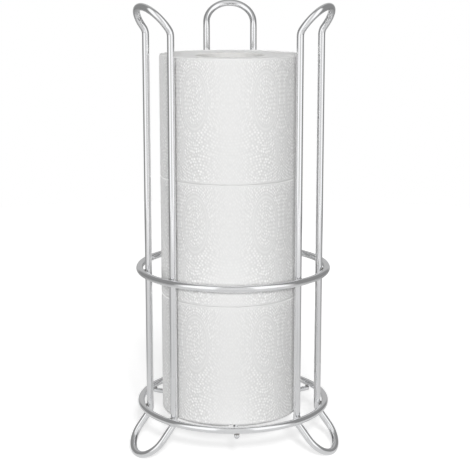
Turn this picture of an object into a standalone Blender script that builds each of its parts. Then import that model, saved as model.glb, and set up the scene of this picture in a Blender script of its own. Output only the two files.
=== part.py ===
"""Free-standing wire holder with a stack of three paper rolls.

Frame: metres, +Z up, origin on the floor on the stand's upright axis. The front of the stand faces -Y.
Three uprights, each one closed loop of wire, stand round the rolls. Each is a hand loop that leans out at
the top, two straight legs, and a foot loop that splays out at the bottom. Two rings run round the outside
of the six legs, and three arms under the lower ring carry the rolls.
"""

import math

import bpy

# Rolls: what the stand is sized for.
ROLL_DIAMETER = 0.124
ROLL_HEIGHT = 0.1048
ROLL_NAMES = ("roll_bottom", "roll_middle", "roll_top")
ROLL_EDGE_RADIUS = 0.003
ROLL_LEAN_X = -0.0024  # the stack stands a little left of the stand's axis
CORE_INNER_DIAMETER = 0.0582
CORE_WALL = 0.0012
CORE_RECESS = 0.0008  # each end of the core tube lies this far inside the roll's end

# Wire.
WIRE_DIAMETER = 0.006  # uprights and rings
ARM_DIAMETER = 0.0045  # base arms

# Plan of the stand.
SIDE_ROOM = 0.009  # between a centred roll and an upright's legs
LEG_SPACING = 0.0432  # between the centrelines of one upright's legs
FRONT_UPRIGHT_ANGLE = 60.0  # degrees from straight ahead, to each side
ARM_OVERHANG = 0.0012  # an arm's outer end lies this far outside the base ring's centreline

# Heights.
BASE_RING_HEIGHT = 0.0356  # centreline above the floor
RING_SPACING = 0.1234  # between the centrelines of the two rings
LEG_ABOVE_ROLLS = 0.0213  # from the top of the stack up to the top bend

# Top and foot of an upright. The angles are degrees away from the vertical.
HAND_LEAN = 37.0
HAND_STRAIGHT = 0.0042  # from the top bend's corner to the start of the arch
HAND_BEND_RADIUS = 0.010
FOOT_SPLAY = 40.5
FOOT_BEND_DROP = 0.0035  # the foot bend's corner lies this far below the base ring
FOOT_BEND_RADIUS = 0.008

# Fit of pieces that touch.
CONTACT_GAP = 0.0003

# Fineness of the faceted shapes.
WIRE_BEVEL_RESOLUTION = 4  # 12 sides
ARCH_STEPS = 14
BEND_STEPS = 4
RING_STEPS = 60
ROLL_STEPS = 48
EDGE_STEPS = 3
ARM_SIDES = 12

# Sizes that follow from the ones above.
WIRE_RADIUS = WIRE_DIAMETER / 2
ARM_RADIUS = ARM_DIAMETER / 2
ROLL_RADIUS = ROLL_DIAMETER / 2
CORE_INNER_RADIUS = CORE_INNER_DIAMETER / 2
CORE_OUTER_RADIUS = CORE_INNER_RADIUS + CORE_WALL
ROLL_BORE_RADIUS = CORE_OUTER_RADIUS + CONTACT_GAP
LEG_OFFSET = LEG_SPACING / 2
UPRIGHT_RADIUS = ROLL_RADIUS + SIDE_ROOM + WIRE_RADIUS  # axis to the plane of an upright's legs
RING_RADIUS = math.hypot(UPRIGHT_RADIUS, LEG_OFFSET) + WIRE_DIAMETER + CONTACT_GAP
MID_RING_HEIGHT = BASE_RING_HEIGHT + RING_SPACING
ARM_HEIGHT = BASE_RING_HEIGHT - WIRE_RADIUS - CONTACT_GAP - ARM_RADIUS  # centreline
ARM_START = ARM_RADIUS / math.tan(math.radians(60)) + CONTACT_GAP  # three arms meet 120 degrees apart
ROLL_FLOOR = ARM_HEIGHT + ARM_RADIUS + CONTACT_GAP  # underside of the lowest roll
ROLL_PITCH = ROLL_HEIGHT + CONTACT_GAP
STACK_TOP = ROLL_FLOOR + len(ROLL_NAMES) * ROLL_PITCH - CONTACT_GAP
TOP_BEND_HEIGHT = STACK_TOP + LEG_ABOVE_ROLLS
FOOT_BEND_HEIGHT = BASE_RING_HEIGHT - FOOT_BEND_DROP
FOOT_LENGTH = (FOOT_BEND_HEIGHT - WIRE_RADIUS) / math.cos(math.radians(FOOT_SPLAY))  # corner to foot tip


def clear_scene():
    """Removes every object that the file holds."""
    for old in list(bpy.data.objects):
        bpy.data.objects.remove(old, do_unlink=True)


def make_material(name, colour, roughness, metallic):
    """A Principled material of one colour."""
    material = bpy.data.materials.new(name)
    material.use_nodes = True
    shader = material.node_tree.nodes["Principled BSDF"]
    shader.inputs["Base Color"].default_value = (*colour, 1.0)
    shader.inputs["Roughness"].default_value = roughness
    shader.inputs["Metallic"].default_value = metallic
    return material


def link(name, data, material):
    """Adds an object of this name to the scene."""
    data.materials.append(material)
    made = bpy.data.objects.new(name, data)
    bpy.context.scene.collection.objects.link(made)
    return made


def wire_curve(name, points, material):
    """One closed loop of wire through these centreline points."""
    curve = bpy.data.curves.new(name, "CURVE")
    curve.dimensions = "3D"
    curve.bevel_depth = WIRE_RADIUS
    curve.bevel_resolution = WIRE_BEVEL_RESOLUTION
    spline = curve.splines.new("POLY")
    spline.points.add(len(points) - 1)
    for target, (x, y, z) in zip(spline.points, points):
        target.co = (x, y, z, 1.0)
    spline.use_cyclic_u = True
    return link(name, curve, material)


def bend_points(corner, towards, leaving, radius):
    """Points (out, up) of the arc that rounds a corner between two directions, given in degrees from +up."""
    turn = math.radians(leaving - towards)
    tangent = radius * math.tan(abs(turn) / 2)
    side = math.copysign(1.0, turn)
    start_angle = math.radians(towards)
    start = (
        corner[0] - tangent * math.sin(start_angle),
        corner[1] - tangent * math.cos(start_angle),
    )
    centre = (
        start[0] + side * radius * math.cos(start_angle),
        start[1] - side * radius * math.sin(start_angle),
    )
    points = []
    for step in range(BEND_STEPS + 1):
        angle = start_angle + turn * step / BEND_STEPS
        points.append(
            (
                centre[0] - side * radius * math.cos(angle),
                centre[1] + side * radius * math.sin(angle),
            )
        )
    return points


def arch_points(start, lean, upward):
    """Points (across, out, up) of the half circle that joins an upright's two legs beyond start."""
    angle = math.radians(lean)
    points = []
    for step in range(ARCH_STEPS + 1):
        swing = math.pi * step / ARCH_STEPS
        reach = LEG_OFFSET * math.sin(swing)
        across = LEG_OFFSET * math.cos(swing)
        out = start[0] + reach * math.sin(angle)
        up = start[1] + upward * reach * math.cos(angle)
        points.append((across * upward, out, up))
    return points


def upright_path():
    """Centreline of one upright as points (across, out, up), where out is the distance from the stand's axis."""
    lean = math.radians(HAND_LEAN)
    splay = math.radians(FOOT_SPLAY)
    foot_straight = FOOT_LENGTH - LEG_OFFSET
    foot_start = (
        UPRIGHT_RADIUS + foot_straight * math.sin(splay),
        FOOT_BEND_HEIGHT - foot_straight * math.cos(splay),
    )
    hand_start = (
        UPRIGHT_RADIUS + HAND_STRAIGHT * math.sin(lean),
        TOP_BEND_HEIGHT + HAND_STRAIGHT * math.cos(lean),
    )
    side = bend_points((UPRIGHT_RADIUS, FOOT_BEND_HEIGHT), -FOOT_SPLAY, 0.0, FOOT_BEND_RADIUS)
    side += bend_points((UPRIGHT_RADIUS, TOP_BEND_HEIGHT), 0.0, HAND_LEAN, HAND_BEND_RADIUS)
    path = [(LEG_OFFSET, out, up) for out, up in side]
    path += arch_points(hand_start, HAND_LEAN, 1.0)
    path += [(-LEG_OFFSET, out, up) for out, up in reversed(side)]
    path += arch_points(foot_start, FOOT_SPLAY, -1.0)
    return path


def make_upright(name, angle, material):
    """One upright, turned to an angle in degrees from straight ahead (-Y), counted towards +X."""
    made = wire_curve(name, [(across, -out, up) for across, out, up in upright_path()], material)
    made.rotation_euler = (0.0, 0.0, math.radians(angle))
    return made


def make_ring(name, height, material):
    """One ring round the outside of the legs."""
    points = []
    for step in range(RING_STEPS):
        angle = 2 * math.pi * step / RING_STEPS
        points.append((RING_RADIUS * math.sin(angle), -RING_RADIUS * math.cos(angle), 0.0))
    made = wire_curve(name, points, material)
    made.location = (0.0, 0.0, height)
    return made


def turned_mesh(name, outline, steps):
    """A closed solid of revolution about Z from a closed outline of (radius, height) points.

    The outline runs down the outer side and up the inner side.
    """
    verts = []
    for step in range(steps):
        angle = 2 * math.pi * step / steps
        verts += [(r * math.cos(angle), r * math.sin(angle), z) for r, z in outline]
    count = len(outline)
    faces = []
    for step in range(steps):
        here = step * count
        there = (step + 1) % steps * count
        for low in range(count):
            high = (low + 1) % count
            faces.append((here + low, here + high, there + high, there + low))
    mesh = bpy.data.meshes.new(name)
    mesh.from_pydata(verts, [], faces)
    mesh.shade_smooth()
    mesh.set_sharp_from_angle(angle=math.radians(40))
    return mesh


def make_arm(name, angle, material):
    """One straight base arm, from the middle of the stand to just past the base ring."""
    length = RING_RADIUS + ARM_OVERHANG - ARM_START
    verts = []
    for end in (0.0, length):
        for side in range(ARM_SIDES):
            turn = 2 * math.pi * side / ARM_SIDES
            verts.append((ARM_RADIUS * math.sin(turn), -end, ARM_RADIUS * math.cos(turn)))
    faces = [tuple(range(ARM_SIDES)), tuple(reversed(range(ARM_SIDES, 2 * ARM_SIDES)))]
    for side in range(ARM_SIDES):
        after = (side + 1) % ARM_SIDES
        faces.append((after, side, ARM_SIDES + side, ARM_SIDES + after))
    mesh = bpy.data.meshes.new(name)
    mesh.from_pydata(verts, [], faces)
    mesh.shade_smooth()
    mesh.set_sharp_from_angle(angle=math.radians(40))
    made = link(name, mesh, material)
    turn = math.radians(angle)
    made.rotation_euler = (0.0, 0.0, turn)
    made.location = (ARM_START * math.sin(turn), -ARM_START * math.cos(turn), ARM_HEIGHT)
    return made


def quarter_round(centre_radius, centre_height, start_degrees):
    """Points of a quarter circle, clockwise from an angle counted from +radius towards +height."""
    points = []
    for step in range(EDGE_STEPS + 1):
        angle = math.radians(start_degrees - 90 * step / EDGE_STEPS)
        points.append(
            (
                centre_radius + ROLL_EDGE_RADIUS * math.cos(angle),
                centre_height + ROLL_EDGE_RADIUS * math.sin(angle),
            )
        )
    return points


def roll_outline():
    """Section of the wound paper, with both outer edges rounded."""
    edge = ROLL_RADIUS - ROLL_EDGE_RADIUS
    outline = quarter_round(edge, ROLL_HEIGHT - ROLL_EDGE_RADIUS, 90)
    outline += quarter_round(edge, ROLL_EDGE_RADIUS, 0)
    outline += [(ROLL_BORE_RADIUS, 0.0), (ROLL_BORE_RADIUS, ROLL_HEIGHT)]
    return outline


def core_outline():
    """Section of the core tube."""
    low = CORE_RECESS
    high = ROLL_HEIGHT - CORE_RECESS
    return [
        (CORE_OUTER_RADIUS, high),
        (CORE_OUTER_RADIUS, low),
        (CORE_INNER_RADIUS, low),
        (CORE_INNER_RADIUS, high),
    ]


def make_roll(name, floor, paper, card):
    """The paper and the core of one roll, on an empty that stands on the axis it lifts along."""
    axis = bpy.data.objects.new(name + "_axis", None)
    axis.location = (ROLL_LEAN_X, 0.0, floor)
    bpy.context.scene.collection.objects.link(axis)
    winding = link(name + "_paper", turned_mesh(name + "_paper", roll_outline(), ROLL_STEPS), paper)
    core = link(name + "_core", turned_mesh(name + "_core", core_outline(), ROLL_STEPS), card)
    winding.parent = axis
    core.parent = axis


def build():
    """Makes the whole holder."""
    clear_scene()
    uprights = {
        "upright_left": -FRONT_UPRIGHT_ANGLE,
        "upright_right": FRONT_UPRIGHT_ANGLE,
        "upright_back": 180.0,
    }
    for name, angle in uprights.items():
        make_upright(name, angle, make_material(name, (0.78, 0.78, 0.79), 0.18, 1.0))
    for name, height in (("mid_ring", MID_RING_HEIGHT), ("base_ring", BASE_RING_HEIGHT)):
        make_ring(name, height, make_material(name, (0.78, 0.78, 0.79), 0.18, 1.0))
    arms = {"base_arm_front": 0.0, "base_arm_left": -120.0, "base_arm_right": 120.0}
    for name, angle in arms.items():
        make_arm(name, angle, make_material(name, (0.72, 0.72, 0.73), 0.25, 1.0))
    for level, name in enumerate(ROLL_NAMES):
        paper = make_material(name + "_paper", (0.86, 0.86, 0.86), 0.95, 0.0)
        card = make_material(name + "_core", (0.74, 0.73, 0.71), 0.9, 0.0)
        make_roll(name, ROLL_FLOOR + level * ROLL_PITCH, paper, card)


build()
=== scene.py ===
# %% [markdown]
# # A wire stand and its column of paper rolls
#
# This lesson dresses a finished model. The plain solids of the stand are loaded as a frame, and every cell
# below makes one piece, or one finish, at the place and size that the frame gives. The wires become smooth
# bright tubes with their welds, and the plain drums become embossed paper on a board core.

# %% Load the frame
import math

import bpy
import numpy as np
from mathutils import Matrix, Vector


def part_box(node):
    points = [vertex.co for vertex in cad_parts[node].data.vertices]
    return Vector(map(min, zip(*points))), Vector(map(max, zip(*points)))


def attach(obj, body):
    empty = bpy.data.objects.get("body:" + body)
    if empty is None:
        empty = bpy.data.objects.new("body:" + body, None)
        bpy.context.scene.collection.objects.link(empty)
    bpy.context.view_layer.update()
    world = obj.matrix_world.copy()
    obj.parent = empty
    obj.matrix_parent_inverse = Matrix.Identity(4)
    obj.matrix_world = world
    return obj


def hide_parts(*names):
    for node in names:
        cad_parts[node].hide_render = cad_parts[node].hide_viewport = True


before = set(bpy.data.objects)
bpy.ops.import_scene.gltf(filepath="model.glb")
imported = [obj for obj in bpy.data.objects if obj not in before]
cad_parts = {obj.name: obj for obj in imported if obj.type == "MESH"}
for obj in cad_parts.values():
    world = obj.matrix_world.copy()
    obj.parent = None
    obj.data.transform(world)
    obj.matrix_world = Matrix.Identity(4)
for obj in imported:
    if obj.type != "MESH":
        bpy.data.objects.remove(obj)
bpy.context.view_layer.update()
MM = 0.001
print("frame nodes:", ", ".join(sorted(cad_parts)))

# %% [markdown]
# ## Sizes read from the frame
#
# Nothing is placed by eye. A ring's box gives the wire's thickness, its radius and its height, and the box of the
# upright at the back gives how far its two legs stand apart and from the middle. Only the angles of the bends can't
# be read from a box, so they are repeated here as named values.

# %% Sizes of the wires
HAND_LEAN = math.radians(37.0)
HAND_STRAIGHT = 4.2 * MM
HAND_BEND = 10.0 * MM
FOOT_SPLAY = math.radians(40.5)
FOOT_BEND = 8.0 * MM
FOOT_BEND_DROP = 3.5 * MM

ring_low, ring_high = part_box("base_ring")
mid_low, mid_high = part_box("mid_ring")
back_low, back_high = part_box("upright_back")
arm_low, arm_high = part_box("base_arm_front")

wire_radius = (ring_high[2] - ring_low[2]) / 2
ring_radius = (ring_high[0] - ring_low[0]) / 2 - wire_radius
base_ring_height = (ring_high[2] + ring_low[2]) / 2
mid_ring_height = (mid_high[2] + mid_low[2]) / 2
leg_offset = (back_high[0] - back_low[0]) / 2 - wire_radius
upright_radius = back_low[1] + wire_radius
hand_tip_height = back_high[2] - wire_radius
top_bend_height = hand_tip_height - (HAND_STRAIGHT + leg_offset) * math.cos(HAND_LEAN)
foot_bend_height = base_ring_height - FOOT_BEND_DROP
foot_straight = (foot_bend_height - wire_radius) / math.cos(FOOT_SPLAY) - leg_offset
arm_radius = (arm_high[2] - arm_low[2]) / 2
arm_height = (arm_high[2] + arm_low[2]) / 2
for measured, value in (("wire", wire_radius), ("rings", ring_radius), ("legs", leg_offset)):
    print(measured, round(2 * value / MM, 1), "mm")

# %% [markdown]
# ## The camera
#
# The stand is looked at from a little above the top of its rolls and slightly from the left, through a long lens
# that keeps the legs nearly parallel. The lens is shifted a little, which saves tipping the camera further.

# %% Camera
CAMERA_TURN = math.radians(-2.25)
CAMERA_DISTANCE = 1.100
CAMERA_HEIGHT = 0.4191
CAMERA_SIDE = 1.7 * MM
CAMERA_PITCH = math.radians(10.83)
FOCAL_LENGTH = 96.7
LENS_SHIFT = -0.05

camera_data = bpy.data.cameras.new("camera")
camera = bpy.data.objects.new("camera", camera_data)
bpy.context.scene.collection.objects.link(camera)
camera.location = (
    CAMERA_SIDE * math.cos(CAMERA_TURN) + CAMERA_DISTANCE * math.sin(CAMERA_TURN),
    CAMERA_SIDE * math.sin(CAMERA_TURN) - CAMERA_DISTANCE * math.cos(CAMERA_TURN),
    CAMERA_HEIGHT,
)
camera.rotation_euler = (math.radians(90) - CAMERA_PITCH, 0.0, CAMERA_TURN)
camera_data.lens = FOCAL_LENGTH
camera_data.sensor_width = 36.0
camera_data.shift_y = LENS_SHIFT
bpy.context.scene.camera = camera
print("camera stands", [round(v, 3) for v in camera.location])

# %% [markdown]
# ## One helper for every surface
#
# Each piece here is a surface given by two parameters: a grid of points, worked out all at once as an array. The
# helper turns such a grid into a mesh. It can join the last column to the first, as round a tube, and the last row
# to the first, as round a ring, or close each open end with a fan of triangles. The sign of the volume inside tells
# it which way the faces point, and it turns them if it must.

# %% Grid to mesh
def grid_corners(rows, columns, around, along):
    """Row and column of the four corners of every cell; a joined grid runs on by one row or one column."""
    i, j = np.meshgrid(np.arange(rows - 1 + along), np.arange(columns - 1 + around), indexing="ij")
    row = np.stack([i, i, i + 1, i + 1], axis=-1).reshape(-1)
    column = np.stack([j, j + 1, j + 1, j], axis=-1).reshape(-1)
    return row, column


def outward(coordinates, corners, sizes, uv):
    """The same closed shell with its faces turned outwards. Six times its signed volume is the sum, over the
    triangles of each face's fan, of a . (b x c); below zero, the order of every face's corners is reversed."""
    starts = np.cumsum(sizes) - sizes
    total = 0.0
    for step in (1, 2):
        has = starts[sizes > step + 1]
        first, second, third = (coordinates[corners[has + offset]] for offset in (0, step, step + 1))
        total += np.einsum("ij,ij->", first, np.cross(second, third))
    if total < 0:
        place = np.arange(len(corners)) - np.repeat(starts, sizes)
        order = np.repeat(starts + sizes - 1, sizes) - place
        corners, uv = corners[order], uv[order]
    return coordinates, corners, sizes, uv


def shell(points, around=True, along=False, caps=False, row_places=None, column_places=None):
    """Flat mesh arrays from points[row, column]; caps closes each open end with a fan to the middle of its row."""
    rows, columns = points.shape[:2]
    row, column = grid_corners(rows, columns, around, along)
    coordinates = points.reshape(-1, 3)
    corners = row % rows * columns + column % columns
    sizes = np.full(len(corners) // 4, 4)
    if row_places is None:
        row_places, column_places = (np.linspace(0.0, 1.0, count + 1) for count in (rows, columns))
    uv = np.stack([row_places[row], column_places[column]], axis=-1)
    if caps:
        ends = np.arange(columns)
        after = np.roll(ends, -1)
        last = (rows - 1) * columns
        poles = rows * columns + np.array([0, 1])
        first_fan = np.stack([np.full(columns, poles[0]), after, ends], axis=-1)
        last_fan = np.stack([np.full(columns, poles[1]), last + ends, last + after], axis=-1)
        coordinates = np.vstack([coordinates, points[0].mean(axis=0), points[-1].mean(axis=0)])
        corners = np.concatenate([corners, first_fan.reshape(-1), last_fan.reshape(-1)])
        sizes = np.concatenate([sizes, np.full(2 * columns, 3)])
        uv = np.vstack([uv, np.zeros((6 * columns, 2))])
    return outward(coordinates, corners, sizes, uv)


def piece_from(name, shells):
    """One smooth-shaded object at the origin from one or more shells."""
    counts = [len(part[0]) for part in shells]
    firsts = np.cumsum(counts) - counts
    coordinates = np.vstack([part[0] for part in shells])
    corners = np.concatenate([part[1] + first for part, first in zip(shells, firsts)])
    sizes = np.concatenate([part[2] for part in shells])
    uv = np.vstack([part[3] for part in shells])
    mesh = bpy.data.meshes.new(name)
    mesh.vertices.add(len(coordinates))
    mesh.vertices.foreach_set("co", coordinates.astype(np.float32).reshape(-1))
    mesh.loops.add(len(corners))
    mesh.loops.foreach_set("vertex_index", corners.astype(np.int32))
    mesh.polygons.add(len(sizes))
    mesh.polygons.foreach_set("loop_start", (np.cumsum(sizes) - sizes).astype(np.int32))
    mesh.polygons.foreach_set("use_smooth", np.ones(len(sizes), dtype=bool))
    mesh.uv_layers.new(name="surface").data.foreach_set("uv", uv.astype(np.float32).reshape(-1))
    mesh.update(calc_edges=True)
    mesh.validate()
    made = bpy.data.objects.new(name, mesh)
    bpy.context.scene.collection.objects.link(made)
    return made


def triangles(made):
    """How many triangles an object's faces come to: a face of n corners makes n - 2."""
    return len(made.data.loops) - 2 * len(made.data.polygons)


print("surface helper ready")

# %% [markdown]
# ## Wire as a swept circle
#
# A bent wire is a circle carried along a path. At every point the circle needs two directions at right angles to the
# path. Each path below hands over one of them, and the cross product with the direction of travel gives the other,
# so the tube never twists. The radius may change on the way, which makes the thin collar of a butt weld, where the
# real wire's two ends were pressed together hot.

# %% Tube along a path
WIRE_SIDES = 32
WELD_COLLAR = 0.055
WELD_COLLAR_WIDTH = 0.9 * MM


def along_path(points, closed):
    """Distance along a path to each of its points, and the whole length."""
    following = np.roll(points, -1, axis=0) if closed else np.vstack([points[1:], points[-1:]])
    steps = np.linalg.norm(following - points, axis=1)
    return np.concatenate([[0.0], np.cumsum(steps)])[: len(points)], steps.sum()


def directions(points, closed):
    """Unit direction of travel at each point: the chord between its two neighbours."""
    if closed:
        chord = np.roll(points, -1, axis=0) - np.roll(points, 1, axis=0)
    else:
        chord = np.gradient(points, axis=0)
    return chord / np.linalg.norm(chord, axis=1, keepdims=True)


def tube(name, points, normals, radius, closed=True, caps=False, sides=WIRE_SIDES):
    """Points of a wire: path + radius * (cos(a) * normal + sin(a) * binormal), with a once round."""
    travel = directions(points, closed)
    binormals = np.cross(travel, normals)
    turn = 2 * np.pi * np.arange(sides) / sides
    ring = normals[:, None] * np.cos(turn)[:, None] + binormals[:, None] * np.sin(turn)[:, None]
    radius = np.broadcast_to(radius, len(points))
    grid = points[:, None] + ring * radius[:, None, None]
    distance, length = along_path(points, closed)
    row_places = np.append(distance, length)
    column_places = np.linspace(0.0, 2 * np.pi * wire_radius, sides + 1)
    return piece_from(name, [shell(grid, True, closed, caps, row_places, column_places)])


def collared(distance, length, weld_at):
    """Radius along a wire with a butt weld's collar: radius * (1 + height * exp(-(gap / width) squared))."""
    gap = np.abs((distance - weld_at + length / 2) % length - length / 2)
    return wire_radius * (1 + WELD_COLLAR * np.exp(-((gap / WELD_COLLAR_WIDTH) ** 2)))


print("tube helper ready")

# %% [markdown]
# ## The three uprights
#
# Each upright is one length of wire bent to a closed loop. Two legs rise side by side, lean outwards at the top and
# meet in a half circle, the hand hold. At the bottom they splay outwards and meet in a second half circle, the foot.
# The path is worked out as three numbers, across, out from the middle and up. It is then laid at 60 degrees to the
# left, 60 degrees to the right, and straight behind.

# %% Path of an upright
PATH_STEP = 1.4 * MM


def bend(corner, lean_from, lean_to, radius, steps=24):
    """An arc that rounds a corner of the path; rows are (out, up, lean). A path that leans by a from upright runs
    along (sin a, cos a), so the arc is start + side * radius * (cos a0 - cos a, sin a - sin a0)."""
    side = math.copysign(1.0, lean_to - lean_from)
    tangent = radius * math.tan(abs(lean_to - lean_from) / 2)
    lean = np.linspace(lean_from, lean_to, steps)
    out = corner[0] - tangent * math.sin(lean_from) + side * radius * (math.cos(lean_from) - np.cos(lean))
    up = corner[1] - tangent * math.cos(lean_from) + side * radius * (np.sin(lean) - math.sin(lean_from))
    return np.stack([out, up, lean], axis=-1)


def arch(start, lean, way, steps=60):
    """The half circle that joins the legs; rows are (across, out, up, lean). It swings once from one leg to the
    other: across = offset * cos(s), and it reaches offset * sin(s) beyond start along the leaning plane."""
    swing = np.linspace(0.0, math.pi, steps)
    reach = way * leg_offset * np.sin(swing)
    across = way * leg_offset * np.cos(swing)
    return np.stack([across, start[0] + reach * math.sin(lean), start[1] + reach * math.cos(lean),
                     np.full(steps, lean)], axis=-1)


def upright_path():
    """The closed path of one upright, as rows (across, out, up, lean) at even steps along the wire."""
    lean, splay = HAND_LEAN, -FOOT_SPLAY
    hand_start = (upright_radius + HAND_STRAIGHT * math.sin(lean), top_bend_height + HAND_STRAIGHT * math.cos(lean))
    foot_start = (upright_radius - foot_straight * math.sin(splay), foot_bend_height - foot_straight * math.cos(splay))
    leg = np.vstack([
        bend((upright_radius, foot_bend_height), splay, 0.0, FOOT_BEND),
        bend((upright_radius, top_bend_height), 0.0, lean, HAND_BEND),
    ])
    right = np.column_stack([np.full(len(leg), leg_offset), leg])
    left = right[::-1] * [-1, 1, 1, 1]
    rough = np.vstack([right, arch(hand_start, lean, 1.0), left, arch(foot_start, splay, -1.0)])
    closed = np.vstack([rough, rough[:1]])
    step = np.linalg.norm(np.diff(closed[:, :3], axis=0), axis=1)
    distance = np.concatenate([[0.0], np.cumsum(step)])
    even = np.linspace(0.0, distance[-1], int(distance[-1] / PATH_STEP), endpoint=False)
    return np.stack([np.interp(even, distance, closed[:, k]) for k in range(4)], axis=-1)


def compass(angle):
    """Unit vectors out and across for an angle counted from straight ahead (-Y) towards +X."""
    out = np.array([math.sin(angle), -math.cos(angle), 0.0])
    across = np.array([math.cos(angle), math.sin(angle), 0.0])
    return out, across


UP = np.array([0.0, 0.0, 1.0])
path = upright_path()
print(f"one upright takes {along_path(path[:, :3], True)[1]:.3f} m of wire in {len(path)} steps")

# %% [markdown]
# One path serves all three uprights. The wire's first direction across itself is the way out from the stand while
# the leg is upright, and it tips over with the lean of the hand hold and the splay of the foot.

# %% Uprights
UPRIGHT_ANGLES = {"left": math.radians(-60), "right": math.radians(60), "back": math.radians(180)}
LEG_WELD_AT = 0.045


def make_upright(name, angle):
    """Lays the path at an angle round the stand and sweeps the wire along it."""
    out, across = compass(angle)
    points = path[:, :1] * across + path[:, 1:2] * out + path[:, 2:3] * UP
    normals = np.cos(path[:, 3:]) * out - np.sin(path[:, 3:]) * UP
    distance, length = along_path(points, True)
    return tube(name, points, normals, collared(distance, length, LEG_WELD_AT))


uprights = {side: make_upright("wire_upright_" + side, angle) for side, angle in UPRIGHT_ANGLES.items()}
for piece in uprights.values():
    print(piece.name, triangles(piece), "triangles")

# %% [markdown]
# ## The two rings
#
# A ring is the simplest closed path: a circle, with the direction away from the middle as the first direction of
# the swept circle. Each is rolled from straight wire and welded end to end, and that weld is turned to the back.

# %% Rings
RING_STEPS = 360
RING_WELD_ANGLE = math.radians(152)


def make_ring(name, height):
    """A circle of wire round the legs: ring radius * (sin a, -cos a) at one height."""
    angle = 2 * np.pi * np.arange(RING_STEPS) / RING_STEPS
    normals = np.stack([np.sin(angle), -np.cos(angle), np.zeros(RING_STEPS)], axis=-1)
    points = ring_radius * normals + height * UP
    distance, length = along_path(points, True)
    return tube(name, points, normals, collared(distance, length, ring_radius * RING_WELD_ANGLE))


mid_ring = make_ring("wire_mid_ring", mid_ring_height)
base_ring = make_ring("wire_base_ring", base_ring_height)
print("rings:", triangles(mid_ring), "triangles each")

# %% [markdown]
# ## The three arms under the rolls
#
# The arms are short lengths of thinner wire, cropped and tumbled so that their outer ends are slightly rounded.
# The radius along such an end follows a quarter of an ellipse. The inner ends meet under the middle of the rolls.

# %% Arms
ARM_ANGLES = {"front": 0.0, "left": math.radians(-120), "right": math.radians(120)}
ARM_END_ROUND = 1.3 * MM
ARM_STEPS = 80
ARM_TIP = 0.03


def make_arm(name, angle, start, end):
    """A straight wire whose radius falls to nothing over each end: radius * sqrt(1 - x squared), x from 0 to 1."""
    out, across = compass(angle)
    ends = ARM_END_ROUND * (1 - np.cos(np.linspace(ARM_TIP, np.pi / 2, 12)))
    place = np.concatenate([start + ends, np.linspace(start + ARM_END_ROUND, end - ARM_END_ROUND, ARM_STEPS)[1:-1],
                            end - ends[::-1]])
    into_end = np.clip((ARM_END_ROUND - np.minimum(place - start, end - place)) / ARM_END_ROUND, 0, 1)
    radius = arm_radius * np.sqrt(np.maximum(1 - into_end ** 2, 0.0))
    points = place[:, None] * out + arm_height * UP
    normals = np.broadcast_to(UP, points.shape)
    return tube(name, points, normals, radius, closed=False, caps=True, sides=24)


arm_start = -arm_high[1]
arm_end = -arm_low[1]
arms = {side: make_arm("wire_arm_" + side, angle, arm_start, arm_end) for side, angle in ARM_ANGLES.items()}
print("arms reach from", round(arm_start / MM, 1), "to", round(arm_end / MM, 1), "mm")

# %% [markdown]
# ## The welds
#
# Where two wires cross they are squeezed together between electrodes, and a little metal is pushed out round the
# touching point. Each nugget is a flattened, slightly lumpy ball in the narrow gap between the two wires, so that
# only its rim shows. The nuggets of one ring are one object, and so are those under the base.

# %% Weld nuggets
NUGGET_ROWS = 20
NUGGET_COLUMNS = 28
RING_NUGGET = np.array([2.5, 2.5, 1.25]) * MM
ARM_NUGGET = np.array([2.2, 2.2, 1.2]) * MM
HUB_NUGGET = np.array([3.9, 3.9, 2.15]) * MM
LUMPS = (0.07, 0.04)
POLE_GAP = 0.04


def nugget_grid(centre, axes, sizes, phase):
    """A lumpy ball: centre + size * direction * (1 + a few low waves of latitude and longitude)."""
    latitude = np.linspace(POLE_GAP, np.pi - POLE_GAP, NUGGET_ROWS)[:, None]
    longitude = (2 * np.pi * np.arange(NUGGET_COLUMNS) / NUGGET_COLUMNS)[None, :]
    lump = (1 + LUMPS[0] * np.sin(3 * longitude + phase) * np.sin(latitude)
            + LUMPS[1] * np.sin(5 * longitude - 2 * phase))
    direction = np.stack([np.sin(latitude) * np.cos(longitude), np.sin(latitude) * np.sin(longitude),
                          np.cos(latitude) + 0 * longitude], axis=-1)
    return centre + (direction * lump[..., None] * sizes) @ np.array(axes)


def ring_nuggets(name, height):
    """Six nuggets, one where each leg touches a ring."""
    reach = math.hypot(upright_radius, leg_offset)
    swing = math.atan2(leg_offset, upright_radius)
    contact = (reach + ring_radius) / 2
    grids = []
    for number, (angle, side) in enumerate((a, s) for a in UPRIGHT_ANGLES.values() for s in (-1, 1)):
        out, across = compass(angle + side * swing)
        grids.append(nugget_grid(contact * out + height * UP, (across, UP, out), RING_NUGGET, 1.7 * number))
    return piece_from(name, [shell(grid, caps=True) for grid in grids])


def arm_nuggets(name):
    """Three nuggets between the arms and the base ring, and the lump that joins the arms in the middle."""
    contact = (base_ring_height - wire_radius + arm_height + arm_radius) / 2
    grids = []
    for number, angle in enumerate(ARM_ANGLES.values()):
        out, across = compass(angle)
        grids.append(nugget_grid(ring_radius * out + contact * UP, (across, out, UP), ARM_NUGGET, 2.3 * number))
    out, across = compass(0.0)
    grids.append(nugget_grid(arm_height * UP, (across, out, UP), HUB_NUGGET, 0.6))
    return piece_from(name, [shell(grid, caps=True) for grid in grids])


mid_welds = ring_nuggets("welds_mid_ring", mid_ring_height)
base_welds = ring_nuggets("welds_base_ring", base_ring_height)
arm_welds = arm_nuggets("welds_base_arms")
print("weld nuggets:", 6 + 6 + 4)

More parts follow.
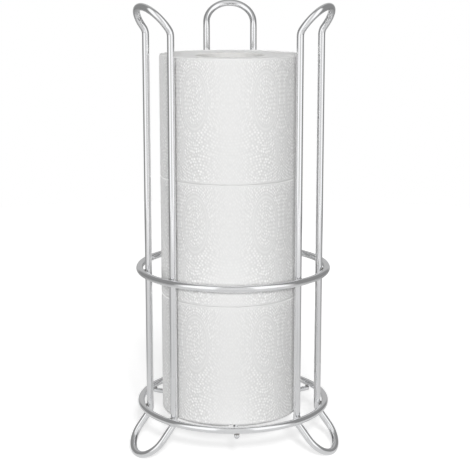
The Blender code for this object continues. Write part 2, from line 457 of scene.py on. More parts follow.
# %% [markdown]
# ## Embossing, as a height over the paper
#
# Kitchen and bathroom paper is pressed between a pattern roller and a rubber one, which leaves rows of small
# raised pips. The pattern here is made up for this lesson: rings of pips in leaf shapes, bowed rows of pips that
# hang between the leaves, and fans that stand below them, mirrored left and right and repeated four times round
# the roll. Everything is a height worked out from two numbers, the distance round the roll and the height on it.

# %% Pips in rings
PIP_PITCH = 2.7 * MM
PIP_RADIUS = 0.88 * MM
PIP_HEIGHT = 0.34 * MM
PIP_JITTER = 0.34
PIP_SMALLEST = 0.35


def soft_step(value, low, high):
    """Rises smoothly from 0 at low to 1 at high: t * t * (3 - 2 t)."""
    t = np.clip((value - low) / (high - low), 0.0, 1.0)
    return t * t * (3 - 2 * t)


def scattered(first, second):
    """A fixed number from 0 to 1 for each pair of whole numbers: the fraction of 43758.5 sin(12.99 a + 78.23 b)."""
    return (43758.5453 * np.sin(12.9898 * first + 78.233 * second)) % 1.0


def pips_in_rings(across, up, squash=1.0):
    """Round pips on rings about the origin. Ring n has radius n * pitch and as many pips as fit; a point's height
    is size * exp(-(distance to the nearest pip / pip radius) squared), and each pip has its own size and a small
    shift of its own. squash narrows the rings to ovals."""
    radius = np.hypot(across / squash, up)
    angle = np.arctan2(up, across / squash)
    ring = np.maximum(np.round(radius / PIP_PITCH), 1.0)
    count = np.round(2 * np.pi * ring * (1 + squash) / 2)
    place = angle * count / (2 * np.pi)
    which = np.round(place) % count
    size = PIP_SMALLEST + (1 - PIP_SMALLEST) * scattered(ring, which)
    shift = PIP_JITTER * (scattered(which, ring) - 0.5)
    off_along = (place - np.round(place) - shift) * 2 * np.pi * radius * (1 + squash) / 2 / count
    off_out = radius - ring * PIP_PITCH - shift * PIP_PITCH
    return size * np.exp(-(off_along ** 2 + off_out ** 2) / PIP_RADIUS ** 2)


print("pips are", round(2 * PIP_RADIUS / MM, 1), "mm wide and", PIP_PITCH / MM, "mm apart")

# %% [markdown]
# ## The pattern of one repeat
#
# Pips cover the whole sheet. What changes is the way their rows run: in ovals inside each leaf, in wide arcs that
# hang between the leaves, in fans below them, and in ovals again over what is left. Each motif claims its area
# with a soft mask, and the next one gets only what the earlier ones have left free. A ridge edges each leaf. The
# pips grow shallow in the middle of the repeat and between two repeats.

# %% Pattern of one repeat
REPEATS = 4
MIRROR_TURN = math.radians(-2.3)
LEAF_CENTRE = np.array([31.5, 70.0]) * MM
LEAF_HALF = np.array([11.0, 22.0]) * MM
LEAF_EDGE = (0.94, 1.0)
RIM_MIDDLE = 1.09
RIM_EDGE = (1.18, 1.24)
BOW_CENTRE = np.array([0.0, 72.0]) * MM
BOW_RADII = np.array([26.0, 48.0]) * MM
BOW_FADE = 4.0 * MM
FAN_CENTRE = np.array([27.0, 0.0]) * MM
FAN_RADII = np.array([3.0, 26.0]) * MM
FAN_HALF_TURN = 0.62
FAN_BLUR = 0.06
LINE_HEIGHT = 0.07 * MM
LINE_WIDTH = 0.60 * MM
STRIPE_AT = np.array([42.2, 44.4]) * MM
STRIPE_RANGE = np.array([14.0, 44.0]) * MM
STRIPE_FADE = 2.0 * MM
CALM_RANGE = np.array([3.0, 33.0]) * MM
CALM_SHARE = 0.16
EDGE_RANGE = np.array([45.0, 48.0]) * MM
EDGE_SHARE = 0.70


def band(value, low, high, blur):
    """1 between low and high, falling smoothly to 0 outside."""
    return soft_step(value, low, low + blur) * (1 - soft_step(value, high, high + blur))


def pattern(around, up, circumference):
    """Height of the embossing at a distance round the roll and a height on it: each motif times what is free."""
    width = circumference / REPEATS
    across = np.abs((around + width / 2) % width - width / 2)
    leaf_across, leaf_up = across - LEAF_CENTRE[0], up - LEAF_CENTRE[1]
    oval = np.hypot(leaf_across / LEAF_HALF[0], leaf_up / LEAF_HALF[1])
    fan_across, fan_up = across - FAN_CENTRE[0], up - FAN_CENTRE[1]
    fan_turn = np.abs(np.arctan2(fan_across, fan_up))
    bow_up = up - BOW_CENTRE[1]
    rings = pips_in_rings(leaf_across, leaf_up, LEAF_HALF[0] / LEAF_HALF[1])
    in_leaf = 1 - soft_step(oval, *LEAF_EDGE)
    in_rim = 1 - soft_step(oval, *RIM_EDGE)
    in_fan = band(np.hypot(fan_across, fan_up), *FAN_RADII, PIP_RADIUS)
    in_fan = in_fan * (1 - soft_step(fan_turn, FAN_HALF_TURN, FAN_HALF_TURN + FAN_BLUR))
    in_bow = band(np.hypot(across, bow_up), *BOW_RADII, PIP_RADIUS) * soft_step(-bow_up, 0.0, BOW_FADE)
    in_edge = soft_step(across, *EDGE_RANGE)
    stripes = sum(np.exp(-(((across - at) / LINE_WIDTH) ** 2)) for at in STRIPE_AT)
    stripes = stripes * band(up, *STRIPE_RANGE, STRIPE_FADE)
    motifs = (
        (in_leaf, rings, 0.85),
        (in_rim, np.exp(-((oval - RIM_MIDDLE) * LEAF_HALF[0] / LINE_WIDTH) ** 2), LINE_HEIGHT / PIP_HEIGHT),
        (in_fan, pips_in_rings(fan_across, fan_up), 0.95),
        (in_bow, pips_in_rings(across, bow_up), 0.9),
        (1.0, rings, 1.0),
    )
    free, height = 1.0, 0.0
    for mask, shape, share in motifs:
        height = height + free * mask * shape * share
        free = free * (1 - mask)
    height = height * (CALM_SHARE + (1 - CALM_SHARE) * soft_step(across, *CALM_RANGE))
    height = height * (1 - (1 - EDGE_SHARE) * in_edge) * (1 - np.clip(2 * stripes, 0.0, 1.0))
    return np.maximum(height * PIP_HEIGHT, stripes * LINE_HEIGHT)


print("one repeat of", REPEATS, "round the roll")

# %% [markdown]
# ## The outer turn of each roll
#
# The last turn of paper is the surface that everyone sees. It holds three sheets, which would tear apart along
# two rows of tiny cuts, and it ends in a small step: the loose end of the paper, turned to the back. So each roll
# gets three curved sheets, each a closed shell with the embossing on its outer face. The radius falls a little at
# both ends, where the paper is crushed, and by a sheet's thickness on the way round. The lowest roll is soft, so
# its edge sags a little between the arms that carry it. Where one roll stands on another, the lower one's upper
# edge gets a painted highlight at both sides, for the light that its rim catches. Each mesh also carries a number
# for the finish to read: painted shade and highlight, low in the hollows between the pips and high on the pips and
# on that edge.

# %% Outer sheets
SHEETS_ROUND = 3
SHEET_COLUMNS = 340
SHEET_ROWS = 186
SHEET_STEP = 0.35 * MM
SHEET_WALL = 0.9 * MM
TAIL_TURN = math.radians(-171)
CUT_DEPTH = 0.22 * MM
CUT_WIDTH = 0.45 * MM
TOP_SHOULDER = np.array([0.7, 0.32]) * MM
BOTTOM_SHOULDER = np.array([0.6, 0.25]) * MM
# Painted highlight along a lower roll's upper edge: how wide and how strong it is.
PAINTED_HIGHLIGHT_WIDTH = 1.6 * MM
PAINTED_HIGHLIGHT_SHARE = 0.5
DROOP = 1.5 * MM
DROOP_SPREAD = math.radians(3.5)
DROOP_HEIGHT = 12.0 * MM
# Where round the roll the painted edge highlight shows: towards the sides.
PAINTED_HIGHLIGHT_SIDES = (0.15, 0.85)
PLAIN_ENDS = (0.6 * MM, 2.6 * MM)
EVEN_SHARE = 0.55
END_REACH = 0.1 * MM
HOLLOW_REACH = 9


def shoulder(gap, size):
    """A quarter of an ellipse at an end of the roll: drop * (1 - sqrt(1 - x squared)), x from 1 at the end to 0."""
    inward = np.clip(1 - gap / size[0], 0.0, 1.0)
    return size[1] * (1 - np.sqrt(1 - inward ** 2))


def sheet_levels(height):
    """Heights of the rows on a roll, closer together near both ends: h / 2 * (1 - cos) blended with even steps."""
    even = np.linspace(0.0, 1.0, SHEET_ROWS)
    return height * (EVEN_SHARE * even + (1 - EVEN_SHARE) * (1 - np.cos(np.pi * even)) / 2)


def box_mean(values, reach):
    """Mean over a square of 2 * reach + 1 cells, from running sums along each direction."""
    for axis in (0, 1):
        width = [(0, 0), (0, 0)]
        width[axis] = (reach + 1, reach)
        running = np.cumsum(np.pad(values, width, mode="edge"), axis=axis)
        size = 2 * reach + 1
        values = (np.take(running, np.arange(size, running.shape[axis]), axis=axis)
                  - np.take(running, np.arange(running.shape[axis] - size), axis=axis)) / size
    return values


def store(piece, name, values):
    """A number on each corner point of the mesh, which a material can read by name."""
    layer = piece.data.attributes.new(name, "FLOAT", "POINT")
    layer.data.foreach_set("value", np.ascontiguousarray(values, dtype=np.float32))


def droop(turn):
    """How far the lowest edge sags beside the arms: 1.5 mm * (1 - exp(-(angle to the nearest arm / 3.5 deg) ^ 2))."""
    to_arm = np.abs((turn + math.pi / 3) % (2 * math.pi / 3) - math.pi / 3)
    return DROOP * (1 - np.exp(-((to_arm / DROOP_SPREAD) ** 2)))


def round_box(node):
    """A round node's lowest and highest corner, the middle between them, and its radius."""
    low, high = (np.array(corner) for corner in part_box(node))
    return low, high, (low + high) / 2, (high[0] - low[0]) / 2


def about_axis(centre, radius, turn, level):
    """Points about an upright axis: (x + radius * sin a, y - radius * cos a, level)."""
    return np.stack([centre[0] + radius * np.sin(turn), centre[1] - radius * np.cos(turn),
                     np.broadcast_to(level, radius.shape)], axis=-1)


def make_sheet(name, node, number, sag, edge_highlight):
    """radius = roll radius - pip height - shoulders(up) - step * share of the turn + pattern - cut at each edge.
    The lowest rows hang down by sag times the droop, and a painted highlight lies along the upper edge at both sides."""
    low, high, centre, outer = round_box(node)
    low, high, outer = low - END_REACH * UP, high + END_REACH * UP, outer - PIP_HEIGHT
    span = 2 * np.pi / SHEETS_ROUND
    share = np.linspace(0.0, 1.0, SHEET_COLUMNS)
    turn = TAIL_TURN + span * (number + share)
    height = high[2] - low[2]
    up = sheet_levels(height)
    ends = shoulder(height - up, TOP_SHOULDER) + shoulder(up, BOTTOM_SHOULDER)
    fade = soft_step(np.minimum(up, height - up), *PLAIN_ENDS)
    around = outer * (turn - MIRROR_TURN)
    relief = pattern(around[None, :], up[:, None], 2 * np.pi * outer) * fade[:, None]
    to_cut = np.minimum(share, 1 - share) * span * outer
    cut = CUT_DEPTH * np.exp(-((to_cut / CUT_WIDTH) ** 2))
    face = outer - ends[:, None] - SHEET_STEP * (number + share) / SHEETS_ROUND + relief - cut
    back = np.full((2, SHEET_COLUMNS), outer - SHEET_STEP - SHEET_WALL)
    radius = np.vstack([face, back])
    level = np.concatenate([up, [up[-1], up[0]]])
    hang = sag * droop(turn)[None, :] * (1 - soft_step(level, 0.0, DROOP_HEIGHT))[:, None]
    grid = about_axis(centre, radius, turn, low[2] + level[:, None] - hang)
    piece = piece_from(name, [shell(grid.transpose(1, 0, 2), around=True, caps=True)])
    # Painted highlight along the upper edge of a lower roll, strongest at the roll's sides.
    painted_highlight = edge_highlight * PAINTED_HIGHLIGHT_SHARE * (1 - soft_step(height - up, 0.5 * PAINTED_HIGHLIGHT_WIDTH, PAINTED_HIGHLIGHT_WIDTH))[:, None]
    painted_highlight = painted_highlight * soft_step(np.sin(turn) ** 2, *PAINTED_HIGHLIGHT_SIDES)
    # Painted shade and highlight for the finish: 0.5 on plain paper, lower in hollows, higher on pips and on the
    # painted edge highlight.
    painted_shading = np.vstack([0.5 + painted_highlight + (relief - box_mean(relief, HOLLOW_REACH)) / PIP_HEIGHT, np.full_like(back, 0.5)])
    store(piece, "painted_shading", np.append(painted_shading.T.reshape(-1), [0.5, 0.5]))
    return piece


ROLLS = ("roll_bottom", "roll_middle", "roll_top")
sheets = {
    roll: [make_sheet(f"{roll}_sheet_{number + 1}", roll + "_paper", number, roll == "roll_bottom", roll != "roll_top")
           for number in range(SHEETS_ROUND)]
    for roll in ROLLS
}
print("each sheet:", triangles(sheets["roll_top"][0]), "triangles")

# %% [markdown]
# ## The wound paper inside
#
# Under the last sheet lie hundreds of turns, which show at the roll's ends as fine rings. The end faces are drawn as
# a profile from the bore out to the sheet: shallow waves for the turns, a slight hollow round the core, and a slow
# unevenness, because no two turns end at quite the same height.

# %% Wound paper
WINDING_COLUMNS = 360
END_ROWS = 56
TURN_PITCH = 1.35 * MM
TURN_WAVE = 0.09 * MM
END_SAG = 0.35 * MM
SAG_REACH = 6.0 * MM
WAVE_REACH = 9.0 * MM
SLOW_WAVES = np.array([0.10, 0.06]) * MM
END_CLEAR = 0.45 * MM
BORE_GAP = 0.3 * MM


def end_height(radius, turn, phase):
    """How far an end face lies below the roll's full height: sag by the bore, waves of turns, slow unevenness."""
    sag = END_SAG * np.exp(-((radius - radius.min()) / SAG_REACH))
    spiral = radius / TURN_PITCH + turn / (2 * np.pi)
    waves = TURN_WAVE * np.sin(2 * np.pi * spiral) * (1 + 0.5 * np.sin(3 * turn + phase + radius / WAVE_REACH))
    slow = SLOW_WAVES[0] * np.sin(2 * turn + phase) + SLOW_WAVES[1] * np.sin(5 * turn - phase)
    return END_CLEAR + sag + waves + slow


def make_winding(name, node, core, phase):
    """A closed surface of revolution: up the bore, out over the top, down inside the sheet, back under."""
    low, high, centre, outer = round_box(node)
    outer = outer - PIP_HEIGHT - SHEET_STEP - 0.5 * SHEET_WALL
    bore = round_box(core)[3] + BORE_GAP
    height = high[2] - low[2]
    turn = (2 * np.pi * np.arange(WINDING_COLUMNS) / WINDING_COLUMNS)[None, :]
    out = np.linspace(bore, outer, END_ROWS)[:, None]
    top = height - end_height(out, turn, phase)
    bottom = end_height(out, turn, phase + 2.0)
    radius = np.vstack([np.broadcast_to(out, top.shape), np.broadcast_to(out[::-1], bottom.shape)])
    level = np.vstack([top, bottom[::-1]])
    return piece_from(name, [shell(about_axis(centre, radius, turn, low[2] + level), True, True)])


windings = {
    roll: make_winding(roll + "_winding", roll + "_paper", roll + "_core", 1.3 * number)
    for number, roll in enumerate(ROLLS)
}
print("windings:", triangles(windings["roll_top"]), "triangles each")

# %% [markdown]
# ## The core tubes
#
# A core is a strip of grey board wound in a spiral and glued, so a shallow seam runs round it like a screw thread.
# The tube is a closed profile carried once round, and the seam is a groove whose angle and height keep step.

# %% Core tubes
CORE_COLUMNS = 240
CORE_ROWS = 90
CORE_BORE_SHARE = 29.1 / 30.3
SEAM_PITCH = 62.0 * MM
SEAM_DEPTH = 0.16 * MM
SEAM_WIDTH = 1.1 * MM


def seam(turn, up, phase):
    """Depth of the spiral seam: a groove where up - pitch * turn / 2 pi comes to a whole pitch."""
    gap = (up - SEAM_PITCH * (turn + phase) / (2 * np.pi) + SEAM_PITCH / 2) % SEAM_PITCH - SEAM_PITCH / 2
    return SEAM_DEPTH * np.exp(-((gap / SEAM_WIDTH) ** 2))


def make_core(name, node, phase):
    """A tube with rounded rims: down the bore, out round the lower rim, up the outside, back over the top."""
    low, high, centre, outer = round_box(node)
    bore = outer * CORE_BORE_SHARE
    middle, half = (outer + bore) / 2, (outer - bore) / 2
    turn = (2 * np.pi * np.arange(CORE_COLUMNS) / CORE_COLUMNS)[None, :]
    rim = np.linspace(0.0, math.pi, 8)[1:-1]
    wall = np.linspace(high[2] - half, low[2] + half, CORE_ROWS)
    rest = np.concatenate([middle - half * np.cos(rim), [outer, outer], middle + half * np.cos(rim)])
    radius = np.vstack([bore + seam(turn, wall[:, None], phase), rest[:, None] + 0 * turn])
    level = np.concatenate([wall, low[2] + half * (1 - np.sin(rim)), [low[2] + half, high[2] - half],
                            high[2] - half * (1 - np.sin(rim))])
    return piece_from(name, [shell(about_axis(centre, radius, turn, level[:, None]), True, True)])


cores = {roll: make_core(roll + "_tube", roll + "_core", 2.1 * number) for number, roll in enumerate(ROLLS)}
print("cores:", triangles(cores["roll_top"]), "triangles each")

# %% [markdown]
# ## Small helpers for materials
#
# A material is a tree of nodes. These helpers each add one kind of node with its settings and inputs in one line,
# and return what it puts out, which keeps the recipes further down short enough to read.

# %% Node helpers
def add(tree, kind, settings=None, **inputs):
    """Adds a node; each input is a value, or an output to link from. An underscore stands for a space."""
    node = tree.nodes.new(kind)
    for name, value in (settings or {}).items():
        setattr(node, name, value)
    for name, value in inputs.items():
        key = int(name[1:]) if name[0] == "n" and name[1:].isdigit() else name.replace("_", " ")
        if isinstance(value, bpy.types.NodeSocket):
            tree.links.new(value, node.inputs[key])
        else:
            node.inputs[key].default_value = value
    return node


def feed(tree, node, **outputs):
    """Links outputs to a node's inputs by name."""
    for name, output in outputs.items():
        tree.links.new(output, node.inputs[name.replace("_", " ")])


def use(tree, group, vector, **inputs):
    """Places a node group and returns its outputs."""
    return add(tree, "ShaderNodeGroup", {"node_tree": group}, Vector=vector, **inputs).outputs


def object_place(tree):
    """Where a point lies in the object's own coordinates."""
    return add(tree, "ShaderNodeTexCoord").outputs["Object"]


def math_node(tree, operation, first, second=0.0):
    """One arithmetic step."""
    return add(tree, "ShaderNodeMath", {"operation": operation}, n0=first, n1=second).outputs[0]


def scaled(tree, vector, by):
    """A vector with each of its parts multiplied by a number of its own."""
    return add(tree, "ShaderNodeVectorMath", {"operation": "MULTIPLY"}, n0=vector, n1=by).outputs[0]


def mix_colours(tree, share, first, second, blend="MIX"):
    """first where share is 0 and second where it is 1, or their product with MULTIPLY."""
    settings = {"data_type": "RGBA", "blend_type": blend}
    return add(tree, "ShaderNodeMix", settings, n0=share, n6=first, n7=second).outputs[2]


def spread(tree, value, low, high, start=0.0, end=1.0, kind="LINEAR"):
    """Maps start..end onto low..high, in a straight line or, with SMOOTHSTEP, with soft ends."""
    return add(tree, "ShaderNodeMapRange", {"interpolation_type": kind}, Value=value, From_Min=start, From_Max=end,
               To_Min=low, To_Max=high).outputs[0]


def noise(tree, vector, scale, detail, distortion=0.0):
    """Cloudy noise, about a half on average."""
    return add(tree, "ShaderNodeTexNoise", None, Vector=vector, Scale=scale, Detail=detail,
               Distortion=distortion).outputs[0]


def bump(tree, height, strength, distance):
    """A normal tilted by the slope of a height map that is distance tall."""
    return add(tree, "ShaderNodeBump", None, Height=height, Strength=strength, Distance=distance).outputs[0]


def new_group(name, inputs, outputs):
    """A node group with float inputs {name: default} after a Vector, and float outputs."""
    group = bpy.data.node_groups.new(name, "ShaderNodeTree")
    group.interface.new_socket("Vector", in_out="INPUT", socket_type="NodeSocketVector")
    for key, default in inputs.items():
        group.interface.new_socket(key, in_out="INPUT", socket_type="NodeSocketFloat").default_value = default
    for key in outputs:
        group.interface.new_socket(key, in_out="OUTPUT", socket_type="NodeSocketFloat")
    return group, group.nodes.new("NodeGroupInput").outputs, group.nodes.new("NodeGroupOutput")


def new_material(name, **constants):
    """A material with one Principled shader whose plain values are set on its own sockets."""
    material = bpy.data.materials.new(name)
    material.use_nodes = True
    shader = material.node_tree.nodes["Principled BSDF"]
    for key, value in constants.items():
        shader.inputs[key.replace("_", " ")].default_value = value
    return material, material.node_tree, shader


def colour(red, green, blue):
    """A colour socket's value."""
    return (red, green, blue, 1.0)


print("node helpers ready")

# %% [markdown]
# ## Drawn metal
#
# Wire is pulled through a die, which leaves very fine lines along it, and plating evens them out but doesn't hide
# them. Handling adds slow cloudy patches and tiny pits. The three effects are one group, used by every metal finish
# here at its own scale. The vector's first part runs along the wire and its second part round it.

# %% Group for drawn metal
PIT_RANGE = (0.66, 0.74)


def build_drawn_metal():
    """Lines: noise stretched 60 times along the wire. Clouds: slow noise. Pits: fine noise kept above a level."""
    group, given, result = new_group("drawn_metal", {"Line Scale": 2600.0, "Cloud Scale": 55.0, "Pit Scale": 900.0},
                                     ("Lines", "Clouds", "Pits"))
    place = given["Vector"]
    stretched = scaled(group, place, (1 / 60, 1.0, 1.0))
    pits = noise(group, place, given["Pit Scale"], 1.0)
    feed(group, result, Lines=noise(group, stretched, given["Line Scale"], 3.0),
         Clouds=noise(group, place, given["Cloud Scale"], 2.0),
         Pits=spread(group, pits, 0.0, 1.0, *PIT_RANGE, "SMOOTHSTEP"))
    return group


drawn_metal = build_drawn_metal()
print("group:", drawn_metal.name)

# %% [markdown]
# ## Bright plating on the wires
#
# Chromium over nickel is almost a mirror, slightly blue, and a little duller where it has been handled. The clouds
# and the lines vary the roughness, and the lines also make a bump far too small to see by itself: it only
# stretches the highlights a little, as on real wire.

# %% Chrome
PIT_ROUGHNESS = 0.1
LINE_SHARE = 0.3


def plated(name, bright, dull, smooth, rough, **scales):
    """Base colour from the clouds, roughness from clouds and lines together, bump from lines and pits."""
    material, tree, shader = new_material(name, Metallic=1.0)
    place = add(tree, "ShaderNodeUVMap", {"uv_map": "surface"}).outputs[0]
    grain = use(tree, drawn_metal, place, **scales)
    lines, clouds, pits = (grain[key] for key in ("Lines", "Clouds", "Pits"))
    both = math_node(tree, "MULTIPLY", math_node(tree, "ADD", lines, clouds), 0.5)
    worn = math_node(tree, "ADD", spread(tree, both, smooth, rough), math_node(tree, "MULTIPLY", pits, PIT_ROUGHNESS))
    height = math_node(tree, "SUBTRACT", math_node(tree, "MULTIPLY", lines, LINE_SHARE), pits)
    feed(tree, shader, Base_Color=mix_colours(tree, clouds, bright, dull), Roughness=worn,
         Normal=bump(tree, height, 0.04, 0.02 * MM))
    return material


chrome = plated("chrome_plating", colour(0.90, 0.905, 0.915), colour(0.84, 0.845, 0.855), 0.07, 0.13)
arm_chrome = plated("chrome_plating_thin_wire", colour(0.86, 0.865, 0.875), colour(0.76, 0.765, 0.78), 0.10, 0.24,
                    Line_Scale=3200.0)
print("finishes:", chrome.name, arm_chrome.name)

# %% [markdown]
# ## Welds
#
# The plating runs over a weld too, but the metal below is lumpy, so a weld looks duller than the wire. Its much
# darker colour is painted shade for the narrow gap between two wires that the nugget fills. The same group gives
# its mottling, much finer than the wire's clouds.

# %% Weld finish
def weld_finish():
    """Patchy metal whose dark colour is painted shade for its gap: colour and roughness from clouds, bump from clouds
    and pits.
    """
    material, tree, shader = new_material("plated_weld_painted_shade", Metallic=1.0)
    place = object_place(tree)
    grain = use(tree, drawn_metal, place, Cloud_Scale=700.0, Pit_Scale=1500.0)
    clouds, pits = grain["Clouds"], grain["Pits"]
    feed(tree, shader, Roughness=spread(tree, clouds, 0.25, 0.55),
         # The dark colours below are painted shade for the gap between the wires.
         Base_Color=mix_colours(tree, clouds, colour(0.50, 0.49, 0.48), colour(0.20, 0.19, 0.18)),
         Normal=bump(tree, math_node(tree, "ADD", clouds, pits), 0.6, 0.25 * MM))
    return material


weld = weld_finish()
print("finish:", weld.name)

# %% [markdown]
# ## Paper fibre
#
# Tissue and board are both felted fibres, seen as a fine mottle with longer strands here and there. Tissue is
# also creped: it is scraped off its drying drum into tiny waves, which run up and down on a roll. One group gives
# the mottle, the strands and the waves.

# %% Group for fibre
STRAND_WIDTH = 0.035
CREPE_SQUEEZE = 0.12


def build_fibre():
    """Mottle: noise. Strands: thin bright lines where a warped noise crosses a half. Crepe: upright waves."""
    group, given, result = new_group("paper_fibre", {"Mottle Scale": 260.0, "Strand Scale": 500.0,
                                                     "Crepe Scale": 1500.0}, ("Mottle", "Strands", "Crepe"))
    place = given["Vector"]
    warped = noise(group, place, given["Strand Scale"], 2.0, 1.5)
    off = math_node(group, "ABSOLUTE", math_node(group, "SUBTRACT", warped, 0.5))
    squeezed = scaled(group, place, (1.0, 1.0, CREPE_SQUEEZE))
    feed(group, result, Mottle=noise(group, place, given["Mottle Scale"], 4.0),
         Strands=spread(group, off, 1.0, 0.0, 0.0, STRAND_WIDTH, "SMOOTHSTEP"),
         Crepe=noise(group, squeezed, given["Crepe Scale"], 1.0))
    return group


fibre = build_fibre()
print("group:", fibre.name)

# %% [markdown]
# ## Tissue and board
#
# The sheet is matt white, and its creping shows as a faint bump. Its colour also carries painted shade in the
# hollows between the pips and a painted highlight on top of them, read from the number that each sheet's mesh
# carries for how proud a point stands. The wound ends are the same paper seen edge on, with one fine ring for each
# turn. The board is smoother. All three share one recipe, and two of them add a step of their own to it.

# %% Paper finishes
# Painted shade: the grey that the tissue's colour falls to in the hollows between the pips.
PAINTED_HOLLOW_SHADE = colour(0.58, 0.58, 0.58)
MOTTLE_RANGE = (-0.3, 1.3)
END_RINGS = {"Scale": 420.0, "Distortion": 1.2, "Detail": 1.0}


def papery(name, light, dark, crepe_share, strength, distance, own_step=None, **constants):
    """Base colour from mottle, bump from strands and crepe; a finish's own step may change either."""
    material, tree, shader = new_material(name, **constants)
    place = object_place(tree)
    paper = use(tree, fibre, place)
    tint = mix_colours(tree, spread(tree, paper["Mottle"], *MOTTLE_RANGE), dark, light)
    height = math_node(tree, "ADD", math_node(tree, "MULTIPLY", paper["Crepe"], crepe_share), paper["Strands"])
    if own_step:
        tint, height = own_step(tree, place, tint, height)
    feed(tree, shader, Base_Color=tint, Normal=bump(tree, height, strength, distance))
    return material


def painted_pip_shading(tree, place, tint, height):
    """Painted shade and highlight: the paper's colour is multiplied by a grey that runs from dark in the hollows
    between pips to white on the pips and on the highlighted upper edge.
    """
    painted_shading = add(tree, "ShaderNodeAttribute", {"attribute_name": "painted_shading"}).outputs["Fac"]
    grey = mix_colours(tree, painted_shading, PAINTED_HOLLOW_SHADE, colour(1.0, 1.0, 1.0))
    return mix_colours(tree, 1.0, tint, grey, "MULTIPLY"), height


def wound(tree, place, tint, height):
    """Fine rings about the rolls' own axis are added to the relief."""
    low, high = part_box("roll_top_paper")
    centred = add(tree, "ShaderNodeMapping", None, Vector=place, Location=(-(low[0] + high[0]) / 2, 0.0, 0.0))
    rings = add(tree, "ShaderNodeTexWave", {"wave_type": "RINGS", "rings_direction": "Z"},
                Vector=centred.outputs[0], **END_RINGS)
    return tint, math_node(tree, "ADD", height, rings.outputs["Fac"])


tissue = papery("tissue_sheet", colour(0.99, 0.99, 0.985), colour(0.95, 0.95, 0.945), 1.6, 0.35, 0.10 * MM,
                painted_pip_shading, Roughness=0.95, Specular_IOR_Level=0.15)
tissue_ends = papery("tissue_wound_ends", colour(0.83, 0.83, 0.825), colour(0.77, 0.77, 0.765), 0.4, 0.35,
                     0.10 * MM, wound, Roughness=0.95, Specular_IOR_Level=0.15)
board = papery("wound_board", colour(0.70, 0.695, 0.685), colour(0.61, 0.605, 0.59), 0.3, 0.25, 0.08 * MM,
               Roughness=0.8)
print("finishes:", tissue.name, tissue_ends.name, board.name)

# %% [markdown]
# ## Which piece goes where
#
# Every piece takes its finish, rides on a body, and stands in for the plain solid that it was built over. The
# welds belong to the wires that they join.

# %% Dress, ride and replace
def dress(piece, material, body, nodes):
    """Gives a piece its finish and its place in the moving model."""
    piece.data.materials.append(material)
    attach(piece, body)
    if nodes:
        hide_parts(*nodes)


for side, piece in uprights.items():
    dress(piece, chrome, "stand", ["upright_" + side])
for side, piece in arms.items():
    dress(piece, arm_chrome, "stand", ["base_arm_" + side])
dress(mid_ring, chrome, "stand", ["mid_ring"])
dress(base_ring, chrome, "stand", ["base_ring"])
for piece in (mid_welds, base_welds, arm_welds):
    dress(piece, weld, "stand", [])
for roll in ROLLS:
    for piece in sheets[roll]:
        dress(piece, tissue, roll, [])
    dress(windings[roll], tissue_ends, roll, [roll + "_paper"])
    dress(cores[roll], board, roll, [roll + "_core"])

# %% [markdown]
# ## Studio surroundings
#
# Bright metal shows nothing but its surroundings, so the surroundings are designed. A wire shows the front half of
# the room across its middle and the back half squeezed into its two edges. A wide bright panel in front and dark
# cloth at both sides give a white wire with dark edges, a dim strip straight behind keeps those edges from turning
# black, and the grey stripe down the middle is the gap in the panel where the camera looks through. The brightness
# depends only on the direction round the stand, so one node group gives it to the room and to the floor alike.

# %% Group for the room
ROOM_STOPS = ((0.0, 0.25), (0.05, 0.25), (0.09, 0.0), (0.62, 0.0), (0.74, 1.0), (0.955, 1.0), (0.972, 0.52))


def build_room():
    """Level by frontness, which runs from 0 straight behind to 1 straight ahead: (1 - y / distance from z) / 2."""
    group, given, result = new_group("room_panels", {"Panel": 1.0, "Cloth": 0.3}, ("Level",))
    flat = scaled(group, given["Vector"], (1.0, 1.0, 0.0))
    level = add(group, "ShaderNodeVectorMath", {"operation": "NORMALIZE"}, n0=flat).outputs[0]
    ahead = add(group, "ShaderNodeSeparateXYZ", None, Vector=level).outputs[1]
    ramp = add(group, "ShaderNodeValToRGB", None, Fac=spread(group, ahead, 0.0, 1.0, 1.0, -1.0))
    elements = ramp.color_ramp.elements
    while len(elements) < len(ROOM_STOPS):
        elements.new(0.5)
    for element, (position, value) in zip(elements, ROOM_STOPS):
        element.position = position
        element.color = colour(value, value, value)
    feed(group, result, Level=spread(group, ramp.outputs[0], given["Cloth"], given["Panel"]))
    return group


def by_ray(tree, rays, eye, mirror, paper):
    """One level for what the eye sees, one for what mirrors show, and one for the light that falls on paper."""
    unseen = spread(tree, rays["Is Glossy Ray"], paper, mirror)
    return spread(tree, rays["Is Camera Ray"], unseen, eye)


room_panels = build_room()
print("group:", room_panels.name)

# %% [markdown]
# ## The floor
#
# A plain pale floor, round and much wider than the stand: a disc worked out from rings of points. A studio table
# is often lit from below, so this one glows. To the eye the glow is a little weaker close to the stand, and there
# the floor lamp's shadow shows softly. In the wires the floor is darker near the stand and like the room further
# out. Paper gets almost nothing back from it, or the rolls would look flat.

# %% Floor
FLOOR_RADIUS = 1.2
FLOOR_DROP = 0.3 * MM
FLOOR_THICKNESS = 10.0 * MM
FLOOR_COLUMNS = 96
FLOOR_RINGS = np.array([0.02, 0.3, 0.7, 1.0])
GLOW_SEEN, SEEN_FROM_TO = (0.77, 1.03), (0.10, 0.55)
GLOW_NEAR_IN_MIRRORS, MIRRORS_FROM_TO = 0.40, (0.18, 0.40)
FAR_PANEL, FAR_CLOTH = 0.40, 0.20
GLOW_ON_PAPER = 0.02
BODY_GREY, BODY_FOR_PAPER = colour(0.45, 0.45, 0.45), colour(0.05, 0.05, 0.05)


def make_floor():
    """A thin disc: rings of radius r at z just under 0, and the same rings lower down in the other order."""
    turn = 2 * np.pi * np.arange(FLOOR_COLUMNS) / FLOOR_COLUMNS
    reach = FLOOR_RINGS * FLOOR_RADIUS
    radius = np.concatenate([reach, reach[::-1]])[:, None]
    level = np.repeat([-FLOOR_DROP, -FLOOR_THICKNESS], len(reach))
    grid = np.stack([radius * np.cos(turn), radius * np.sin(turn),
                     np.broadcast_to(level[:, None], (len(level), FLOOR_COLUMNS))], axis=-1)
    return piece_from("studio_floor", [shell(grid, caps=True)])


